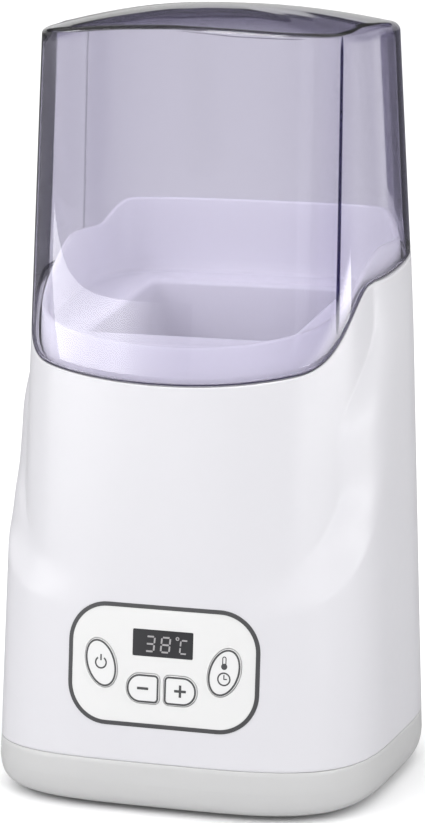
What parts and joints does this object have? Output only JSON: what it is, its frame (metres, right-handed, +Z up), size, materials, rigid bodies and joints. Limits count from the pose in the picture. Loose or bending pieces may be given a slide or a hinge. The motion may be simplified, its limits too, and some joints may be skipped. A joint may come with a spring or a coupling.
{
  "type": "yogurt maker",
  "caption": "Upright yogurt maker with a heated square well for a milk carton, a leaning control panel with press buttons and a smoky domed lift-off cover.",
  "frame": {"origin": "centre of the standing face, on the table under the body's centre", "axes": "+Z up, front with the control panel towards -Y, +X to the right seen from the front"},
  "size_m": [0.147, 0.141, 0.2899],
  "materials": {
    "shell_white": "smooth moulded, slight sheen",
    "tray_grey": "satin moulded",
    "rubber_dark": "matt",
    "steel_screw": "plated",
    "liner_white": "smooth moulded",
    "heater_foil": "foil",
    "insulation_felt": "felt",
    "sensor_black": "sleeved",
    "clip_steel": "sheet",
    "fuse_ceramic": "plain",
    "panel_white": "printed film",
    "trim_grey": "printed ring",
    "window_dark": "tinted window",
    "module_black": "matt",
    "board_green": "solder mask",
    "switch_black": "matt",
    "button_white": "smooth moulded",
    "transformer_tape": "taped winding",
    "relay_blue": "moulded case",
    "capacitor_sleeve": "sleeved can",
    "terminal_green": "moulded",
    "header_ivory": "moulded",
    "ribbon_grey": "flat cable",
    "lead_red": "silicone lead",
    "lead_white": "glass-sleeved lead",
    "gland_grey": "moulded",
    "lid_smoke": "smoky clear moulding"
  },
  "bodies": {
    "base": {"outer_shell": "shell_white", "base_tray": "tray_grey", "rubber_feet": "rubber_dark", "base_screws": "steel_screw", "inner_liner": "liner_white", "liner_screws": "steel_screw", "heater_wrap": "heater_foil", "insulation_sleeve": "insulation_felt", "ntc_sensor": "sensor_black", "sensor_clip": "clip_steel", "thermal_fuse": "fuse_ceramic", "fuse_clip": "clip_steel", "panel_plate": "panel_white", "panel_trim": "trim_grey", "display_window": "window_dark", "display_module": "module_black", "control_board": "board_green", "tact_switches": "switch_black", "controller_chip": "switch_black", "buzzer": "switch_black", "board_screws": "steel_screw", "power_board": "board_green", "power_board_screws": "steel_screw", "transformer": "transformer_tape", "relay": "relay_blue", "capacitor": "capacitor_sleeve", "mains_fuse": "fuse_ceramic", "terminal_block": "terminal_green", "lead_header": "header_ivory", "ribbon_lead": "ribbon_grey", "heater_leads": "lead_red", "fuse_leads": "lead_white", "sensor_leads": "sensor_black", "cord_gland": "gland_grey", "gland_clamp": "switch_black"},
    "lid": {"lid": "lid_smoke"},
    "power_button": {"power_button": "button_white"},
    "minus_button": {"minus_button": "button_white"},
    "plus_button": {"plus_button": "button_white"},
    "mode_button": {"mode_button": "button_white"}
  },
  "joints": [
    {"name": "lid_lift", "type": "slide", "parent": "base", "child": "lid", "axis": [0, 0, 1], "range_m": [0, 0.12]},
    {"name": "power_button_press", "type": "slide", "parent": "base", "child": "power_button", "axis": [0, 0.9964, -0.0843], "range_m": [0, 0.0008], "stiffness_N_per_m": 900},
    {"name": "minus_button_press", "type": "slide", "parent": "base", "child": "minus_button", "axis": [0, 0.9964, -0.0843], "range_m": [0, 0.0008], "stiffness_N_per_m": 900},
    {"name": "plus_button_press", "type": "slide", "parent": "base", "child": "plus_button", "axis": [0, 0.9964, -0.0843], "range_m": [0, 0.0008], "stiffness_N_per_m": 900},
    {"name": "mode_button_press", "type": "slide", "parent": "base", "child": "mode_button", "axis": [0, 0.9964, -0.0843], "range_m": [0, 0.0008], "stiffness_N_per_m": 900}
  ]
}
